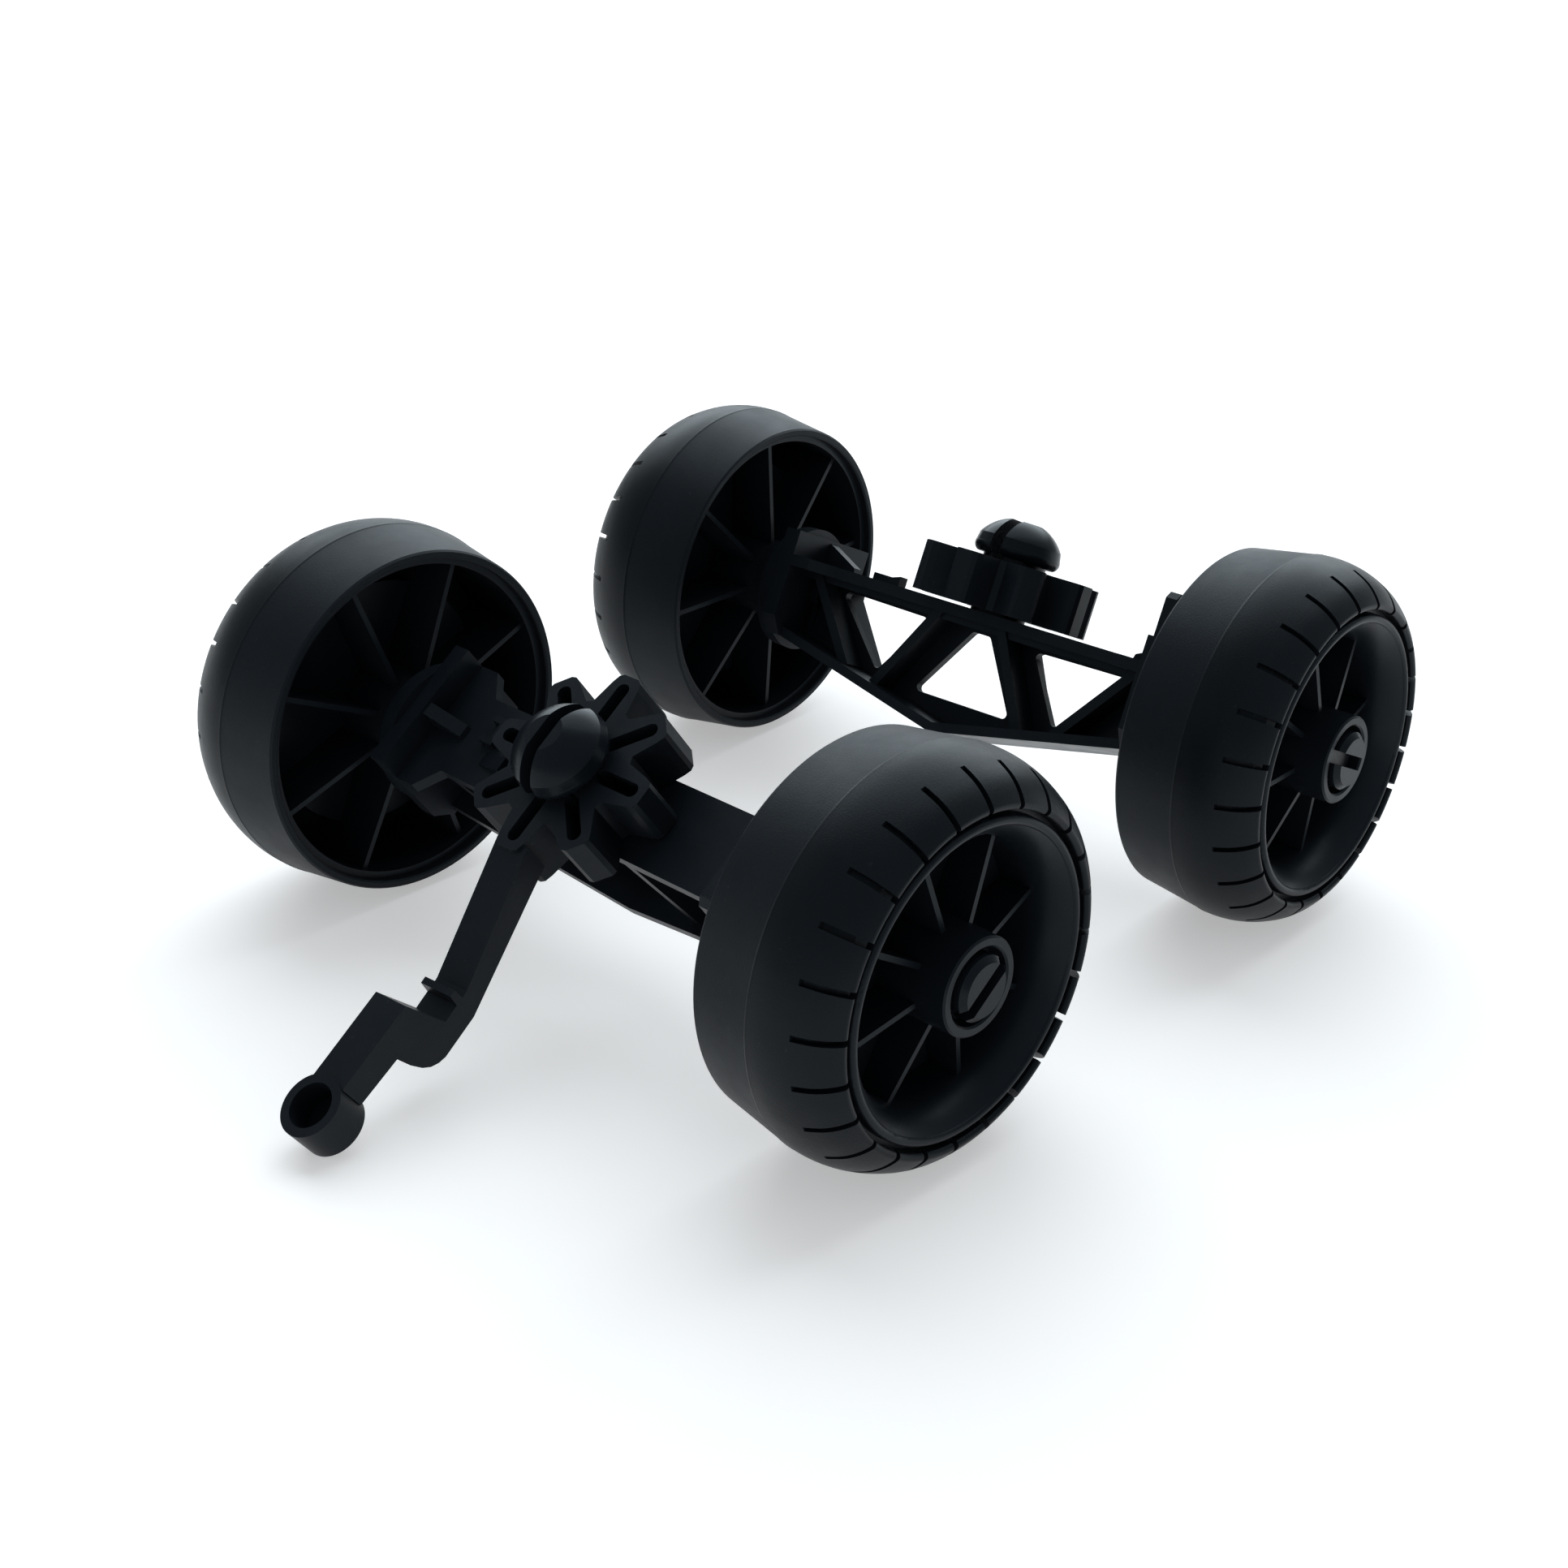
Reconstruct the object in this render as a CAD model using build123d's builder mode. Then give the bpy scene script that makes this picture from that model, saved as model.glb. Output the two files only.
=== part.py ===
from build123d import *
import os
from math import sin, cos, radians, hypot

# Two clip-together axle units of a four wheel robot chassis kit, all moulded plastic.
# Front unit: beam, star collar, snap knob, tow arm, two wheels.  Rear unit: the same without the arm.
# Millimetres. +X runs from the front axle to the rear axle, +Y to the left wheels' side, +Z up.
# The row's origin is on the floor, under the middle of the overall outline.

os.makedirs("parts", exist_ok=True)

# ---------------------------------------------------------------- driving dimensions
wheel_r = 33.07            # largest tyre radius, at the parting line
wheelbase = 99.60          # front axle to rear axle, along X
rear_shift = 4.75          # rear unit stands this far to the left
rear_yaw = 3.8             # degrees, rear unit turned about Z
front_lean = -36.87        # degrees about the axle: the front unit leans forward on its arm
rear_lean = 26.0           # degrees: the rear unit leans back
half_track = 50.85         # axle centre to a wheel's inboard plane

beam_plate_top = 6.0       # above the axle line
beam_plate_t = 2.2
beam_plate_w = 15.6        # front to back, along the middle
beam_end_w = 24.6          # front to back, at the end flanges
shoulder_in = 32.4         # |y| where the plate starts to widen
shoulder_out = 36.0        # |y| where it has its full width
flange_in = 40.2           # |y| of an end flange's inner face
flange_t = 3.3
flange_top = 10.8
flange_low = -10.2
tall_flange_top = 19.2     # the right end flange carries a tall plate
boss_r = 12.4
boss_end = 46.2
nose_r = 8.4
nose_end = 48.3
web_t = 1.8                # truss web, over its raised borders
web_core = 1.1             # truss web, in the recessed fields
vee_w = 17.4               # width of the lower flange
vee_t = 1.9
vee_mid = -18.6            # underside of the lower flange at the middle
vee_end = -10.2            # and at the end flanges

pin_r = 3.0
pin_fit = 0.05             # radial running clearance of a wheel on its pin
prong_r = 5.2              # half-moon heads at the pin's tip
prong_gap = 2.3

collar_bottom = 6.6
collar_top = 16.2
collar_r = 17.2
collar_hub_r = 11.6
collar_fin_w = 7.8           # at the root; the tip is half as wide
collar_slot_w = 2.5
collar_floor = 3.2         # floor left under the slots
collar_bore_r = 6.6

knob_neck_r = 6.2
knob_head_r = 8.3
knob_seat_r = 5.4
knob_head_low = 17.2
knob_head_top = 24.6
knob_slot = 2.5
knob_shift = {"front": -0.6, "rear": -1.5}   # the knob stands slightly right of the beam's middle

arm_swing = -3.3           # degrees about the knob's axis, as it stands
arm_w = 6.9
eye_r = 5.3                # towing eye, outside
eye_bore_r = 3.75
eye_bore_depth = 5.0
eye_at = 66.8              # along the arm, from the knob's axis


# ---------------------------------------------------------------- frames
x_min_from_axle = -69.24
x_max_from_axle = 136.94
y_max_from_axle = 84.01
y_min_from_axle = -79.15
cx = (x_min_from_axle + x_max_from_axle) / 2
cy = (y_min_from_axle + y_max_from_axle) / 2


def place(x, y, z):
    """A point measured from the middle of the front axle, in the row's frame."""
    return Vector(x - cx, y - cy, z + wheel_r)


def unit_frame(centre, lean, yaw):
    """Frame of an axle unit: local x along the axle to the left, y to the front face, z along the knob."""
    a, b = radians(lean), radians(yaw)
    up = Vector(sin(a) * cos(b), sin(a) * sin(b), cos(a))
    return Plane(origin=centre, x_dir=(-sin(b), cos(b), 0), z_dir=up)


front = unit_frame(place(0, 0, 0), front_lean, 0)
rear = unit_frame(place(wheelbase, rear_shift, 0), rear_lean, rear_yaw)


def side_plane(unit, along):
    """Plane across the axle at a distance along it: local x is the unit's y, local y its z."""
    return Plane(origin=unit.from_local_coords(Vector(along, 0, 0)), x_dir=unit.y_dir, z_dir=unit.x_dir)


def web_plane(unit):
    """Plane of the truss web: local x is minus the unit's x, local y its z, normal to the front."""
    return Plane(origin=unit.origin, x_dir=-unit.x_dir, z_dir=unit.y_dir)


def keep(builder, name):
    builder.part.label = name
    export_step(builder.part, "parts/" + name + ".step")


def closed(points):
    Polyline(*points, close=True)


# ---------------------------------------------------------------- beam
def vee(y):
    return vee_mid + (vee_end - vee_mid) * abs(y) / flange_in


# truss openings, in the web plane (x, z), mirrored about the middle
side_opening = [(33.2, 2.1), (12.2, 1.8), (20.9, -11.0), (33.0, 0.6)]
mid_opening = [(2.0, 1.9), (-2.0, 1.9), (-11.4, -12.2), (11.4, -12.2)]
strut_lines = [((6.8, 4.6), (17.1, -13.6)), ((37.6, 4.2), (24.6, -12.0))]    # centre lines of the struts, top to bottom
rib_w = 1.9
rib_reach = 6.7            # from the middle of the web
end_field = [(35.2, 1.0), (38.8, 1.0), (38.8, -7.6), (27.4, -10.0)]


def build_beam(u, x0):
    wp = web_plane(u)
    with BuildPart() as b:
        # top plate with widened ends
        with BuildSketch(u.offset(beam_plate_top - beam_plate_t)):
            with BuildLine():
                w, e = beam_plate_w / 2, beam_end_w / 2
                closed([(flange_in + 0.5, e), (shoulder_out, e), (shoulder_in, w), (-shoulder_in, w),
                        (-shoulder_out, e), (-flange_in - 0.5, e), (-flange_in - 0.5, -e), (-shoulder_out, -e),
                        (-shoulder_in, -w), (shoulder_in, -w), (shoulder_out, -e), (flange_in + 0.5, -e)])
            make_face()
        extrude(amount=beam_plate_t)
        # truss web with three openings
        with BuildSketch(wp):
            with BuildLine():
                q = flange_in + 0.5
                closed([(-q, beam_plate_top - 1), (q, beam_plate_top - 1), (q, vee(q) + 0.4), (0, vee(0) + 0.4), (-q, vee(q) + 0.4)])
            make_face()
        extrude(amount=web_t / 2, both=True)
        # lower flange, a shallow V
        with BuildSketch(wp):
            with BuildLine():
                q = flange_in + 0.5
                closed([(-q, vee(q)), (0, vee(0)), (q, vee(q)), (q, vee(q) + vee_t), (0, vee(0) + vee_t), (-q, vee(q) + vee_t)])
            make_face()
        extrude(amount=vee_w / 2, both=True)
        # small ledge under the plate's edges
        with BuildSketch(wp):
            with Locations((0, beam_plate_top - beam_plate_t - 0.6)):
                Rectangle(2 * flange_in, 1.4)
        extrude(amount=beam_plate_w / 2 - 1.6, both=True)
        # end flanges, bosses and noses
        for s in (1, -1):
            top = flange_top if s > 0 else tall_flange_top
            e = beam_end_w / 2
            start = side_plane(u, s * flange_in)
            with BuildSketch(start):
                with BuildLine():
                    closed([(-e + 3, flange_low), (e - 3, flange_low), (e, flange_low + 3.6), (e, flange_top), (-e, flange_top), (-e, flange_low + 3.6)])
                make_face()
            extrude(amount=s * flange_t)
            if s < 0:
                # tall plate at the right end, set back from the flange's inner face
                with BuildSketch(side_plane(u, s * (flange_in + 1.1))):
                    with BuildLine():
                        closed([(-e + 1, flange_top - 2), (e, flange_top - 2), (e, top - 1.2), (e - 1.2, top), (-e + 6, top), (-e + 1, top - 5)])
                    make_face()
                extrude(amount=s * (flange_t - 1.1))
            with BuildSketch(side_plane(u, s * (flange_in + flange_t - 0.2))):
                Circle(boss_r)
            extrude(amount=s * (boss_end - flange_in - flange_t + 0.2), taper=2)
            with BuildSketch(side_plane(u, s * (boss_end - 0.2))):
                Circle(nose_r)
            extrude(amount=s * (nose_end - boss_end + 0.2))
            # gusset rib on the plate's centre line
            with BuildSketch(wp):
                with BuildLine():
                    closed([(-s * (flange_in + 0.5), beam_plate_top - 0.5), (-s * (flange_in + 0.5), flange_top - 0.6),
                            (-s * flange_in, flange_top - 0.6), (-s * (shoulder_in + 0.6), beam_plate_top + 0.9),
                            (-s * (shoulder_in + 0.2), beam_plate_top - 0.5)])
                make_face()
            extrude(amount=1.2, both=True)
        # the openings
        with BuildSketch(wp):
            for sx in (1, -1):
                with BuildLine():
                    closed([(sx * x, z) for x, z in side_opening])
                make_face()
            with BuildLine():
                closed(mid_opening)
            make_face()
        extrude(amount=web_t, both=True, mode=Mode.SUBTRACT)
        rims = b.edges().filter_by(lambda g: g.geom_type == GeomType.LINE and abs(g.length - web_t) < 0.02
                                   and abs(abs(g.tangent_at(0.5).dot(wp.z_dir)) - 1) < 1e-4)
        fillet(rims, 0.9)
        # recessed end panels, both faces
        for face, sign in ((web_t / 2, -1), (-web_t / 2, 1)):
            with BuildSketch(wp.offset(face)):
                for sx in (1, -1):
                    with BuildLine():
                        closed([(sx * x, z) for x, z in end_field])
                    make_face()
            extrude(amount=sign * (web_t - web_core) / 2, mode=Mode.SUBTRACT)
        # deep centre rib on every strut, standing out from both faces of the web
        with BuildSketch(wp):
            for sx in (1, -1):
                for (x1, z1), (x2, z2) in strut_lines:
                    n = rib_w / 2 / hypot(x2 - x1, z2 - z1)
                    dx, dz = (z2 - z1) * n, -(x2 - x1) * n
                    with BuildLine():
                        closed([(sx * (x1 + dx), z1 + dz), (sx * (x2 + dx), z2 + dz), (sx * (x2 - dx), z2 - dz), (sx * (x1 - dx), z1 - dz)])
                    make_face()
        extrude(amount=rib_reach, both=True)
        # small clip and wedge on the plate, left of the collar
        with BuildSketch(u.offset(beam_plate_top - 0.4)):
            with BuildLine():
                closed([(28.6, -4.9), (25.2, -4.9), (25.2, 0.4), (28.6, 0.4), (28.6, -0.8), (26.4, -0.8), (26.4, -3.7), (28.6, -3.7)])
            make_face()
        extrude(amount=1.8)
        with BuildSketch(wp.offset(1.4)):
            with BuildLine():
                closed([(-19.8, beam_plate_top - 0.4), (-26.2, beam_plate_top - 0.4), (-26.2, beam_plate_top), (-19.8, beam_plate_top + 1.9)])
            make_face()
        extrude(amount=2.6)
        # seat for the snap knob
        with BuildSketch(u.offset(beam_plate_top)):
            with Locations((x0, 0)):
                Circle(knob_seat_r)
        extrude(amount=-2.6, mode=Mode.SUBTRACT)
        # seats for the stub pins
        for s in (1, -1):
            with BuildSketch(side_plane(u, s * nose_end)):
                Circle(pin_r)
            extrude(amount=-s * 10.0, mode=Mode.SUBTRACT)
    return b


# ---------------------------------------------------------------- stub pins
head_low, head_high = 24.6, 28.3       # snap head, measured outboard of the wheel's inboard plane


def wheel_frame(unit_centre, axle, side, turn):
    """Frame of a wheel: origin on its inboard plane, z outboard, x the direction of its first rib."""
    o = unit_centre + axle * (side * half_track)
    z = axle * side
    flat = Vector(axle.Y, -axle.X, 0)
    up = Vector(0, 0, 1)
    t = radians(turn)
    return Plane(origin=o, x_dir=flat * cos(t) + up * sin(t), z_dir=z)


def meridian(w, turn=0.0):
    """Half plane through the wheel's axis: local x radial, local y outboard."""
    t = radians(turn)
    r = w.x_dir * cos(t) + w.y_dir * sin(t)
    return Plane(origin=w.origin, x_dir=r, z_dir=r.cross(w.z_dir))


def build_pin(w, front_dir):
    """Pin with two barbed half-moon prongs; its root sits in the beam's nose."""
    root = -(half_track - nose_end) - 10.0
    with BuildPart() as b:
        with BuildSketch(meridian(w)):
            with BuildLine():
                closed([(0, root), (pin_r, root), (pin_r, head_low), (prong_r, head_low), (prong_r, head_high - 0.9),
                        (prong_r - 0.9, head_high), (0, head_high)])
            make_face()
        revolve(axis=Axis(w.origin, w.z_dir))
        # slot between the prongs
        with BuildSketch(Plane(origin=w.origin + w.z_dir * head_high, x_dir=front_dir, z_dir=w.z_dir)):
            Rectangle(2 * prong_r + 2, prong_gap)
        extrude(amount=-(head_high - head_low - 0.6), mode=Mode.SUBTRACT)
    return b


# ---------------------------------------------------------------- wheels
tyre_in_r = 29.8
hub_r = 7.9
hub_face = 27.0
hub_cup_r = 6.2            # cup in the hub's end that takes the pin's head
hub_cup_floor = 24.2
hub_in = -1.6
rim_rib_t = 0.95


def build_tyre(w, tread):
    with BuildPart() as b:
        with BuildSketch(meridian(w)):
            with BuildLine():
                l1 = Line((tyre_in_r, 0.3), (tyre_in_r + 0.3, 0))
                l2 = Line(l1 @ 1, (31.0, 0))
                l3 = Line(l2 @ 1, (31.3, 0.4))
                l4 = Line(l3 @ 1, (32.95, 12.0))
                l5 = Line(l4 @ 1, (wheel_r, 12.36))
                l6 = Line(l5 @ 1, (wheel_r, 12.8))
                l7 = ThreePointArc(l6 @ 1, (32.75, 17.2), (31.3, 21.4))
                l8 = ThreePointArc(l7 @ 1, (29.7, 23.9), (27.6, 25.7))
                l9 = ThreePointArc(l8 @ 1, (26.9, 25.8), (26.4, 25.3))
                l10 = Line(l9 @ 1, (26.4, 20.6))
                l11 = Line(l10 @ 1, (tyre_in_r, 18.6))
                Line(l11 @ 1, l1 @ 0)
            make_face()
        revolve(axis=Axis(w.origin, w.z_dir))
        # tread slashes over the shoulder
        for i in range(24):
            with BuildSketch(meridian(w, i * 15 + tread)):
                with BuildLine():
                    closed([(34.5, 19.8), (31.0, 19.8), (30.0, 21.8), (28.2, 23.6), (26.0, 24.6), (26.0, 27.5), (34.5, 27.5)])
                make_face()
        extrude(amount=0.5, both=True, mode=Mode.SUBTRACT)
    return b


def build_rim(w):
    with BuildPart() as b:
        with BuildSketch(meridian(w)):
            with BuildLine():
                # drum, outboard lip and dish, web, hub
                a1 = Line((tyre_in_r, 1.6), (28.5, 1.6))
                a2 = Polyline(a1 @ 1, (28.1, 17.4), (23.0, 17.4), (22.6, 12.4))
                a3 = Line(a2 @ 1, (hub_r, 12.4))
                a4 = Line(a3 @ 1, (hub_r - 0.2, hub_in))
                a5 = Line(a4 @ 1, (pin_r + pin_fit, hub_in))
                a6 = Polyline(a5 @ 1, (pin_r + pin_fit, hub_cup_floor), (hub_cup_r - 0.2, hub_cup_floor), (hub_cup_r, hub_face - 0.3))
                a7 = Line(a6 @ 1, (hub_cup_r + 0.3, hub_face))
                a8 = Line(a7 @ 1, (hub_r - 0.3, hub_face))
                a9 = Line(a8 @ 1, (hub_r, hub_face - 0.3))
                a10 = Line(a9 @ 1, (hub_r + 0.2, 14.0))
                a11 = Line(a10 @ 1, (20.6, 14.0))
                a12 = Line(a11 @ 1, (20.8, 17.6))
                a13 = ThreePointArc(a12 @ 1, (21.7, 22.2), (24.0, 25.1))
                a14 = ThreePointArc(a13 @ 1, (24.8, 25.6), (25.5, 25.1))
                a15 = Line(a14 @ 1, (25.6, 23.4))
                a16 = Line(a15 @ 1, (26.4, 23.4))
                a17 = Line(a16 @ 1, (26.4, 20.6))
                a18 = Line(a17 @ 1, (tyre_in_r, 18.6))
                Line(a18 @ 1, a1 @ 0)
            make_face()
        revolve(axis=Axis(w.origin, w.z_dir))
        # eight ribs in the inboard cup and eight in the outboard dish
        for i in range(8):
            with BuildSketch(meridian(w, i * 45)):
                with BuildLine():
                    closed([(hub_r - 1, 1.8), (28.6, 3.0), (28.6, 18), (22.8, 18), (22.8, 13), (hub_r - 1, 13)])
                make_face()
                with BuildLine():
                    closed([(hub_r - 0.6, 13.4), (21.6, 13.4), (21.6, 19.6), (hub_r - 0.6, 21.6)])
                make_face()
        extrude(amount=rim_rib_t / 2, both=True)
        # the bore for the pin, cleared of the ribs
        with BuildSketch(w.offset(hub_in)):
            Circle(pin_r + pin_fit)
        extrude(amount=hub_cup_floor - hub_in, mode=Mode.SUBTRACT)
    return b


# ---------------------------------------------------------------- star collar and snap knob
def build_collar(u, x0, turn=0.0):
    def level(z):
        return Plane(origin=u.from_local_coords(Vector(x0, 0, z)), x_dir=u.x_dir, z_dir=u.z_dir)
    h = collar_fin_w / 2
    fin = [(0, h), (10.5, h), (15.4, 0.74 * h), (16.7, 0.62 * h), (collar_r, 0.42 * h),
           (collar_r, -0.42 * h), (16.7, -0.62 * h), (15.4, -0.74 * h), (10.5, -h), (0, -h)]
    with BuildPart() as b:
        with BuildSketch(level(collar_bottom)):
            Circle(collar_hub_r)
            with PolarLocations(0, 8, start_angle=turn):
                Polygon(*fin, align=None)
        extrude(amount=collar_top - collar_bottom)
        # open-topped slots with round ends
        with BuildSketch(level(collar_top)):
            with PolarLocations(0, 8, start_angle=turn):
                with Locations(((collar_bore_r + collar_r - 1.5) / 2, 0)):
                    SlotOverall(collar_r - 1.5 - collar_bore_r + 0.1, collar_slot_w)
        extrude(amount=-(collar_top - collar_bottom - collar_floor), mode=Mode.SUBTRACT)
        # bore round the knob's neck
        with BuildSketch(level(collar_bottom)):
            Circle(collar_bore_r)
        extrude(amount=collar_top - collar_bottom, mode=Mode.SUBTRACT)
    return b


def build_knob(u, x0):
    """Split post with an overhanging head that snaps over the collar."""
    foot = u.from_local_coords(Vector(x0, 0, 0))
    with BuildPart() as b:
        with BuildSketch(Plane(origin=foot, x_dir=-u.x_dir, z_dir=u.y_dir)):
            with BuildLine():
                k1 = Line((0, beam_plate_top - 2.6), (knob_seat_r, beam_plate_top - 2.6))
                k2 = Line(k1 @ 1, (knob_seat_r, collar_bottom))
                k3 = Line(k2 @ 1, (knob_neck_r, collar_bottom))
                k4 = Line(k3 @ 1, (knob_neck_r, knob_head_low))
                k5 = Line(k4 @ 1, (knob_head_r - 0.8, knob_head_low))
                k6 = ThreePointArc(k5 @ 1, (knob_head_r - 0.1, knob_head_low + 0.7), (knob_head_r, knob_head_low + 2.0))
                k7 = Line(k6 @ 1, (knob_head_r - 0.3, knob_head_low + 3.6))
                k8 = ThreePointArc(k7 @ 1, (knob_head_r - 2.2, knob_head_top - 1.6), (knob_head_r - 5.0, knob_head_top))
                k9 = Line(k8 @ 1, (0, knob_head_top))
                Line(k9 @ 1, k1 @ 0)
            make_face()
        revolve(axis=Axis(foot, u.z_dir))
        # slot between the two halves, front to back
        with BuildSketch(Plane(origin=foot + u.z_dir * knob_head_top, x_dir=u.x_dir, z_dir=u.z_dir)):
            Rectangle(knob_slot, 2 * knob_head_r + 2)
        extrude(amount=-(knob_head_top - collar_bottom - 1.6), mode=Mode.SUBTRACT)
    return b


# ---------------------------------------------------------------- tow arm
def build_arm(u):
    t = radians(arm_swing)
    fwd = u.y_dir * cos(t) + u.x_dir * sin(t)
    side = u.x_dir * cos(t) - u.y_dir * sin(t)
    # local x forward along the arm, local y along the knob's axis, normal to the arm's left side
    ap = Plane(origin=u.origin, x_dir=fwd, z_dir=fwd.cross(u.z_dir))
    lift = Plane(origin=u.origin, x_dir=fwd, z_dir=u.z_dir)
    with BuildPart() as b:
        # bar: first run slopes down, a thin cross plate at the bend, then a step up to the second run
        with BuildSketch(ap):
            with BuildLine():
                closed([(15.7, 15.8), (38.8, 8.9), (40.0, 8.8), (40.0, 11.2), (41.2, 11.2), (41.5, 8.9), (44.6, 8.9),
                        (46.9, 18.2), (62.6, 19.1), (62.6, 14.0), (53.8, 13.1), (53.2, 10.0), (52.3, 7.4), (51.3, 5.9),
                        (50.0, 4.9), (48.6, 4.4), (41.0, 4.2), (19.4, 9.4), (15.7, 10.2)])
            make_face()
        extrude(amount=arm_w / 2, both=True)
        # towing eye
        with BuildSketch(lift.offset(12.7)):
            with Locations((eye_at, 0)):
                Circle(eye_r)
        extrude(amount=6.7)
        with BuildSketch(lift.offset(19.4)):
            with Locations((eye_at, 0)):
                Circle(eye_bore_r)
        extrude(amount=-eye_bore_depth, mode=Mode.SUBTRACT)
    return b


# ---------------------------------------------------------------- build and write every piece
axle_front = front.x_dir
axle_rear = rear.x_dir
wheels = {
    "front_left": wheel_frame(front.origin, axle_front, 1, 21),
    "front_right": wheel_frame(front.origin, axle_front, -1, 15),
    "rear_left": wheel_frame(rear.origin, axle_rear, 1, 0),
    "rear_right": wheel_frame(rear.origin, axle_rear, -1, 6),
}
tread = {"front_left": 7.5, "front_right": 11.0, "rear_left": 7.5, "rear_right": 8.3}    # first slash, from the first rib
built = {}
for name, u in (("front", front), ("rear", rear)):
    x0 = knob_shift[name]
    built[name + "_beam"] = build_beam(u, x0)
    built[name + "_star_collar"] = build_collar(u, x0)
    built[name + "_snap_knob"] = build_knob(u, x0)
built["tow_arm"] = build_arm(front)
for name, w in wheels.items():
    built[name + "_tyre"] = build_tyre(w, tread[name])
    built[name + "_rim"] = build_rim(w)
    built[name + "_stub_pin"] = build_pin(w, (front if name.startswith("front") else rear).y_dir)
for name, piece in built.items():
    keep(piece, name)
    box = piece.part.bounding_box()
    print(name, len(piece.part.solids()), round(piece.part.volume, 1), [round(v, 2) for v in (*box.min, *box.max)])
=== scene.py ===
import bpy, math
from mathutils import Vector, Matrix

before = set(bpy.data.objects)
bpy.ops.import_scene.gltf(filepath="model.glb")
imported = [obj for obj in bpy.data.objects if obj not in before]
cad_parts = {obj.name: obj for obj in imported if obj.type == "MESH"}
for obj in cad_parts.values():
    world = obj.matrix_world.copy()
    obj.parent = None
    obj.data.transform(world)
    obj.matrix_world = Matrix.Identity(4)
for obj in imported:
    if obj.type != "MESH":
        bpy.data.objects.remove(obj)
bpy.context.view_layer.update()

# ------------------------------------------------------------------ camera
U = 0.03                                   # metres per unit of the camera fit
AXLE = Vector((-0.03385, -0.00243, 0.03307))   # middle of the front axle in the row frame


def camera():
    yaw, pitch, roll = 0.76109, -0.44932, 0.0163
    fwd = Vector((math.cos(pitch) * math.cos(yaw), math.cos(pitch) * math.sin(yaw), math.sin(pitch)))
    right = Vector((math.sin(yaw), -math.cos(yaw), 0))
    up = right.cross(fwd)
    r = right * math.cos(roll) + up * math.sin(roll)
    u = up * math.cos(roll) - right * math.sin(roll)
    pos = AXLE + Vector((-7.7962, -8.7076, 5.8184)) * U
    cam = bpy.data.cameras.new("photo_camera")
    cam.sensor_width = 36.0
    cam.lens = 54.86
    cam.clip_start = 0.01
    cam.clip_end = 20
    o = bpy.data.objects.new("photo_camera", cam)
    o.matrix_world = Matrix((
        (r.x, u.x, -fwd.x, pos.x),
        (r.y, u.y, -fwd.y, pos.y),
        (r.z, u.z, -fwd.z, pos.z),
        (0, 0, 0, 1)))
    bpy.context.scene.collection.objects.link(o)
    bpy.context.scene.camera = o


camera()


# ------------------------------------------------------------------ materials
def tree(name):
    m = bpy.data.materials.new(name)
    m.use_nodes = True
    n = m.node_tree
    n.nodes.clear()
    out = n.nodes.new("ShaderNodeOutputMaterial")
    b = n.nodes.new("ShaderNodeBsdfPrincipled")
    n.links.new(b.outputs["BSDF"], out.inputs["Surface"])
    return m, n, b


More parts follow.
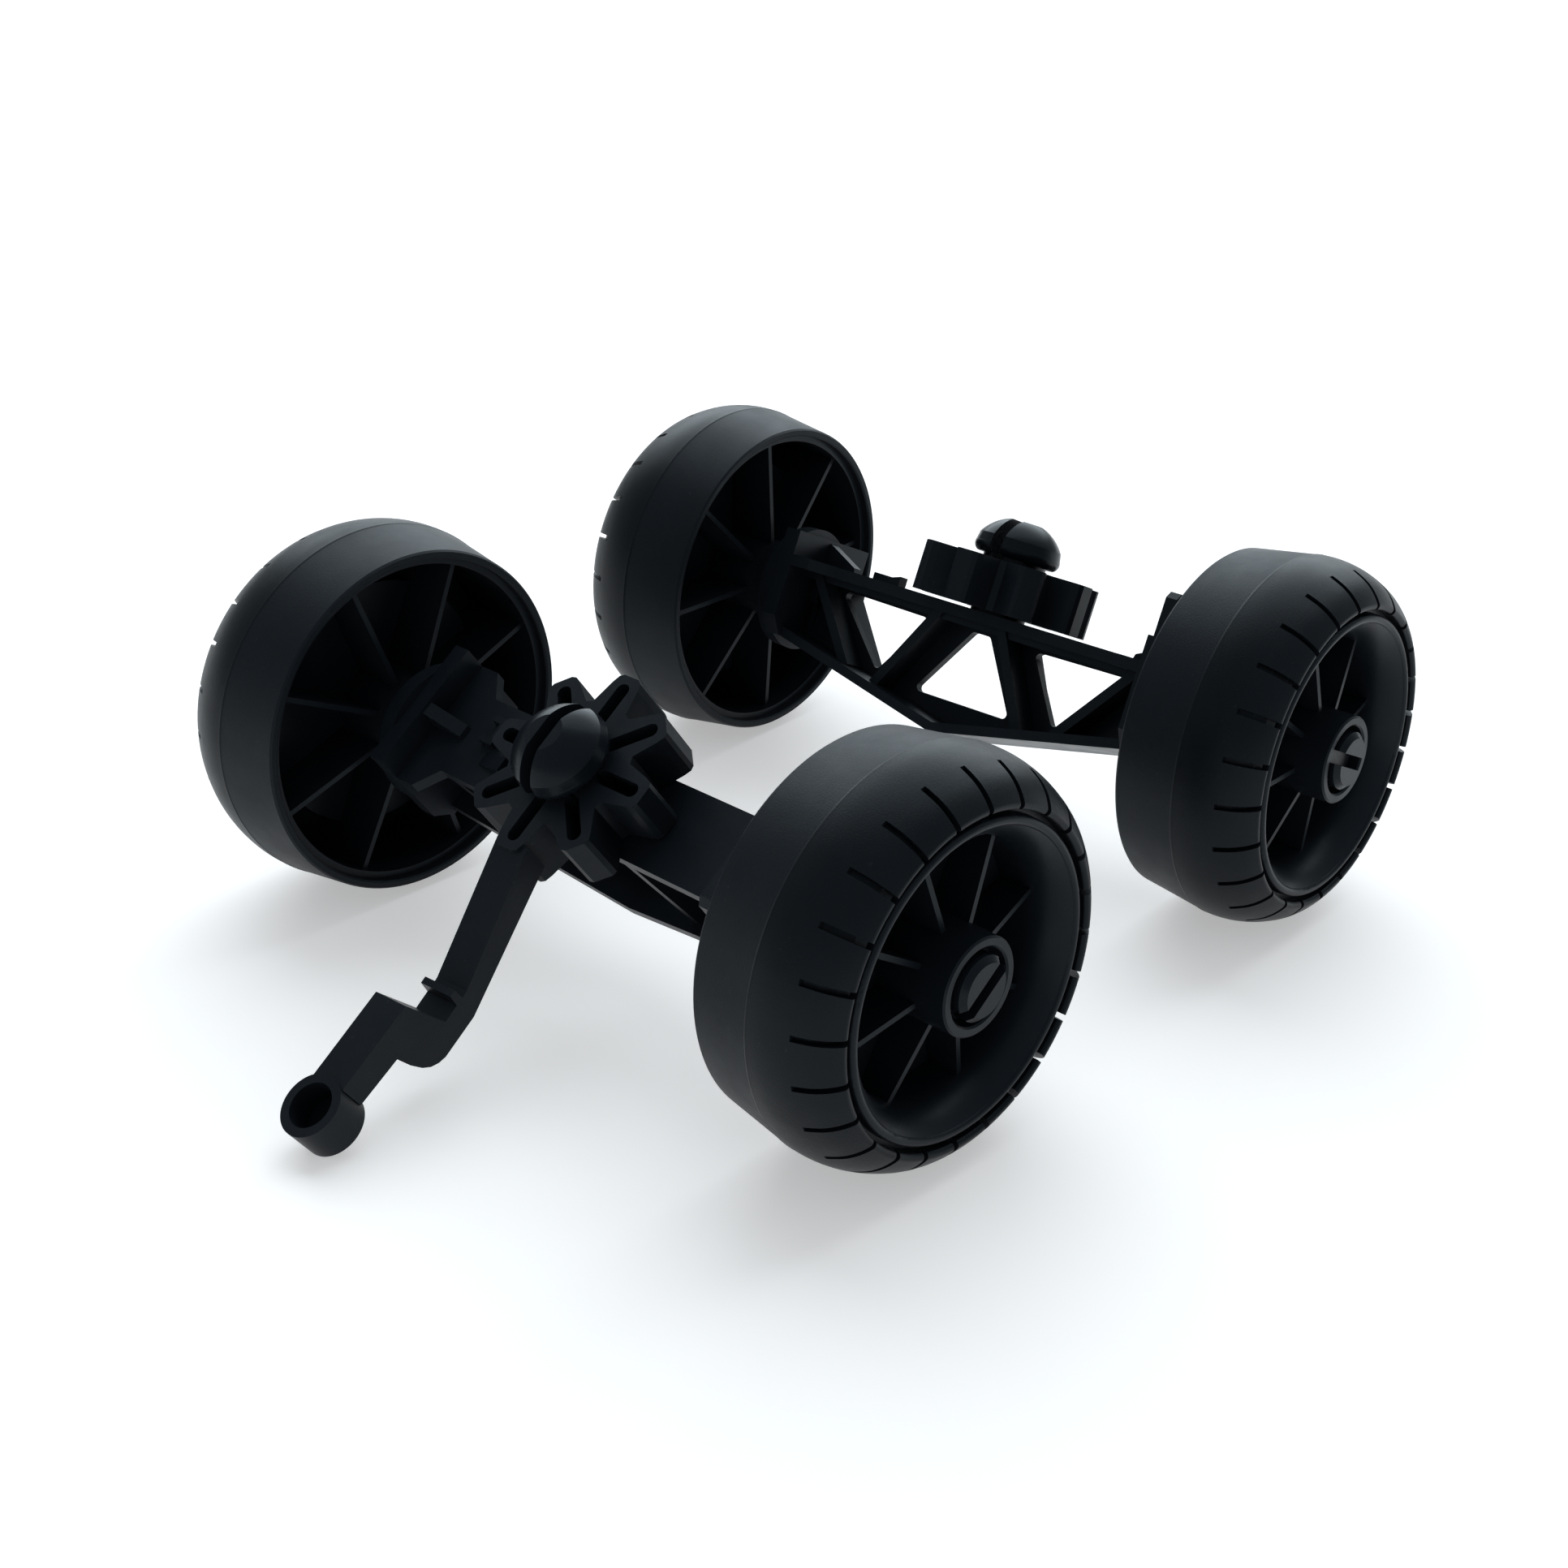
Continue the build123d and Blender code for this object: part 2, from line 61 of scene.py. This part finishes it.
def plastic(name, dark, light, rough, rough_span, grain, grain_scale, ripple=0.0, coat=0.0, tread_band_for_gloss_and_shade=None):
    """Moulded black plastic: flow marks in the colour, gloss that varies, fine spark-eroded grain; when a band is
    given, the tread band is painted darker as painted shade and made a little glossier.
    """
    m, n, b = tree(name)
    N, L = n.nodes.new, n.links.new
    tc = N("ShaderNodeTexCoord")
    flow = N("ShaderNodeTexNoise")
    flow.inputs["Scale"].default_value = 42.0
    flow.inputs["Detail"].default_value = 5.0
    flow.inputs["Roughness"].default_value = 0.6
    flow.inputs["Distortion"].default_value = 0.8
    L(tc.outputs["Object"], flow.inputs["Vector"])
    ramp = N("ShaderNodeValToRGB")
    ramp.color_ramp.elements[0].position = 0.3
    ramp.color_ramp.elements[0].color = (*dark, 1)
    ramp.color_ramp.elements[1].position = 0.72
    ramp.color_ramp.elements[1].color = (*light, 1)
    L(flow.outputs["Fac"], ramp.inputs["Fac"])
    # dust specks
    speck = N("ShaderNodeTexNoise")
    speck.inputs["Scale"].default_value = 900.0
    speck.inputs["Detail"].default_value = 2.0
    L(tc.outputs["Object"], speck.inputs["Vector"])
    sr = N("ShaderNodeValToRGB")
    sr.color_ramp.elements[0].position = 0.70
    sr.color_ramp.elements[0].color = (0, 0, 0, 1)
    sr.color_ramp.elements[1].position = 0.78
    sr.color_ramp.elements[1].color = (1, 1, 1, 1)
    L(speck.outputs["Fac"], sr.inputs["Fac"])
    amt = N("ShaderNodeMath")
    amt.operation = "MULTIPLY"
    amt.inputs[1].default_value = 0.12
    L(sr.outputs["Color"], amt.inputs[0])
    mix = N("ShaderNodeMix")
    mix.data_type = "RGBA"
    mix.inputs["B"].default_value = (0.06, 0.065, 0.07, 1)
    L(amt.outputs[0], mix.inputs["Factor"])
    L(ramp.outputs["Color"], mix.inputs["A"])
    tread_gloss_and_shade_mask = None
    if tread_band_for_gloss_and_shade:
        # 0 on the smooth inboard band, 1 on the grained tread band, split at the mould's parting line; the mask
        # darkens the tread band's colour as painted shade for the brightness step at the crease, and lowers its
        # roughness
        centre, axis, at = tread_band_for_gloss_and_shade
        sub = N("ShaderNodeVectorMath")
        sub.operation = "SUBTRACT"
        sub.inputs[1].default_value = centre
        L(tc.outputs["Object"], sub.inputs[0])
        dot = N("ShaderNodeVectorMath")
        dot.operation = "DOT_PRODUCT"
        dot.inputs[1].default_value = axis
        L(sub.outputs["Vector"], dot.inputs[0])
        tread_gloss_and_shade_mask = N("ShaderNodeMapRange")
        tread_gloss_and_shade_mask.inputs["From Min"].default_value = at - 0.00012
        tread_gloss_and_shade_mask.inputs["From Max"].default_value = at + 0.00012
        L(dot.outputs["Value"], tread_gloss_and_shade_mask.inputs["Value"])
        # painted shade: the tread band's colour is multiplied by 0.66 so it reads darker than the inboard band
        painted_tread_shade = N("ShaderNodeMix")
        painted_tread_shade.data_type = "RGBA"
        painted_tread_shade.blend_type = "MULTIPLY"
        painted_tread_shade.inputs["B"].default_value = (0.66, 0.66, 0.67, 1)
        L(tread_gloss_and_shade_mask.outputs["Result"], painted_tread_shade.inputs["Factor"])
        L(mix.outputs["Result"], painted_tread_shade.inputs["A"])
        L(painted_tread_shade.outputs["Result"], b.inputs["Base Color"])
    else:
        L(mix.outputs["Result"], b.inputs["Base Color"])
    # gloss
    gl = N("ShaderNodeTexNoise")
    gl.inputs["Scale"].default_value = 95.0
    gl.inputs["Detail"].default_value = 6.0
    gl.inputs["Roughness"].default_value = 0.65
    L(tc.outputs["Object"], gl.inputs["Vector"])
    mr = N("ShaderNodeMapRange")
    mr.inputs["From Min"].default_value = 0.3
    mr.inputs["From Max"].default_value = 0.7
    mr.inputs["To Min"].default_value = rough - rough_span
    mr.inputs["To Max"].default_value = rough + rough_span
    L(gl.outputs["Fac"], mr.inputs["Value"])
    if tread_gloss_and_shade_mask:
        add = N("ShaderNodeMath")
        add.operation = "MULTIPLY_ADD"
        add.inputs[1].default_value = -0.07
        L(tread_gloss_and_shade_mask.outputs["Result"], add.inputs[0])
        L(mr.outputs["Result"], add.inputs[2])
        L(add.outputs[0], b.inputs["Roughness"])
    else:
        L(mr.outputs["Result"], b.inputs["Roughness"])
    # grain and shallow sink marks
    gr = N("ShaderNodeTexNoise")
    gr.inputs["Scale"].default_value = grain_scale
    gr.inputs["Detail"].default_value = 3.0
    gr.inputs["Roughness"].default_value = 0.7
    L(tc.outputs["Object"], gr.inputs["Vector"])
    b1 = N("ShaderNodeBump")
    b1.inputs["Strength"].default_value = grain
    b1.inputs["Distance"].default_value = 0.00006
    L(gr.outputs["Fac"], b1.inputs["Height"])
    sk = N("ShaderNodeTexNoise")
    sk.inputs["Scale"].default_value = 120.0
    sk.inputs["Detail"].default_value = 1.5
    L(tc.outputs["Object"], sk.inputs["Vector"])
    b2 = N("ShaderNodeBump")
    b2.inputs["Strength"].default_value = ripple
    b2.inputs["Distance"].default_value = 0.0004
    L(sk.outputs["Fac"], b2.inputs["Height"])
    L(b1.outputs["Normal"], b2.inputs["Normal"])
    L(b2.outputs["Normal"], b.inputs["Normal"])
    b.inputs["IOR"].default_value = 1.38
    b.inputs["Specular IOR Level"].default_value = 0.20
    b.inputs["Specular Tint"].default_value = (0.84, 0.94, 1.0, 1)
    b.inputs["Coat Weight"].default_value = coat
    b.inputs["Coat Roughness"].default_value = 0.3
    return m


satin = plastic("satin_black_frame", (0.0058, 0.0076, 0.0100), (0.0090, 0.0112, 0.0144), 0.36, 0.06, 0.35, 2600, 0.25)
rim_mat = plastic("satin_gloss_rim", (0.0054, 0.0072, 0.0096), (0.0084, 0.0106, 0.0138), 0.34, 0.06, 0.25, 2600, 0.20)
knob_mat = plastic("smooth_knob", (0.0048, 0.0064, 0.0086), (0.0074, 0.0094, 0.0122), 0.28, 0.05, 0.20, 2600, 0.20)

REAR = AXLE + Vector((0.0996, 0.00475, 0))
yaw_r = math.radians(3.8)
AX_F, AX_R = Vector((0, 1, 0)), Vector((-math.sin(yaw_r), math.cos(yaw_r), 0))
# per-wheel tyre materials: the band marks the tread, which is painted darker as painted shade and made a little
# glossier
tyre_mats = {}
for unit, mid, ax in (("front", AXLE, AX_F), ("rear", REAR, AX_R)):
    for side, s_ in (("left", 1), ("right", -1)):
        key = unit + "_" + side
        tyre_mats[key] = plastic("tyre_" + key, (0.0056, 0.0074, 0.0098), (0.0084, 0.0106, 0.0138), 0.46, 0.05, 0.55, 3400, 0.12,
                                 tread_band_for_gloss_and_shade=(tuple(mid + ax * (s_ * 0.05085)), tuple(ax * s_), 0.01222))

for name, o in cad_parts.items():
    mat = satin
    if name.endswith("tyre"):
        mat = tyre_mats[name[:-5]]
    elif name.endswith("rim"):
        mat = rim_mat
    elif name.endswith("knob") or name.endswith("pin"):
        mat = knob_mat
    o.data.materials.clear()
    o.data.materials.append(mat)
    w = o.modifiers.new("edge_round", "BEVEL")
    w.width = 0.00022
    w.segments = 2
    w.limit_method = "ANGLE"
    w.angle_limit = math.radians(38)
    w.harden_normals = True
    w.use_clamp_overlap = True


# ------------------------------------------------------------------ floor and light
def floor():
    m, n, b = tree("pale_floor")
    tc = n.nodes.new("ShaderNodeTexCoord")
    t = n.nodes.new("ShaderNodeTexNoise")
    t.inputs["Scale"].default_value = 6.0
    r = n.nodes.new("ShaderNodeValToRGB")
    r.color_ramp.elements[0].color = (0.84, 0.80, 0.78, 1)
    r.color_ramp.elements[1].color = (0.87, 0.83, 0.81, 1)
    n.links.new(tc.outputs["Object"], t.inputs["Vector"])
    n.links.new(t.outputs["Fac"], r.inputs["Fac"])
    n.links.new(r.outputs["Color"], b.inputs["Base Color"])
    b.inputs["Roughness"].default_value = 0.9
    b.inputs["Emission Color"].default_value = (1.0, 1.0, 1.0, 1)
    b.inputs["Emission Strength"].default_value = 0.40
    me = bpy.data.meshes.new("floor")
    s = 6.0
    me.from_pydata([(-s, -s, 0), (s, -s, 0), (s, s, 0), (-s, s, 0)], [], [(0, 1, 2, 3)])
    o = bpy.data.objects.new("floor", me)
    me.materials.append(m)
    bpy.context.scene.collection.objects.link(o)


def area(name, pos, target, size, power, colour=(1, 1, 1)):
    l = bpy.data.lights.new(name, "AREA")
    l.shape = "RECTANGLE"
    l.size, l.size_y = size
    l.energy = power
    l.color = colour
    o = bpy.data.objects.new(name, l)
    o.location = pos
    o.rotation_euler = (Vector(target) - Vector(pos)).to_track_quat("-Z", "Y").to_euler()
    bpy.context.scene.collection.objects.link(o)


def sun(name, toward, spread, power, colour):
    l = bpy.data.lights.new(name, "SUN")
    l.angle = math.radians(spread)
    l.energy = power
    l.color = colour
    o = bpy.data.objects.new(name, l)
    o.rotation_euler = Vector(toward).to_track_quat("-Z", "Y").to_euler()
    bpy.context.scene.collection.objects.link(o)


floor()
SKY = (0.84, 0.94, 1.0)
sun("back_light", (-0.62, -0.45, -0.80), 80, 2.3, SKY)
area("back_softbox", (0.75, 0.70, 0.55), (0, 0, 0.02), (1.5, 0.8), 5.0, SKY)

w = bpy.data.worlds.new("studio")
w.use_nodes = True
bg = w.node_tree.nodes["Background"]
bg.inputs["Color"].default_value = (*SKY, 1)
bg.inputs["Strength"].default_value = 0.38
bpy.context.scene.world = w

sc = bpy.context.scene
sc.view_settings.view_transform = "Standard"
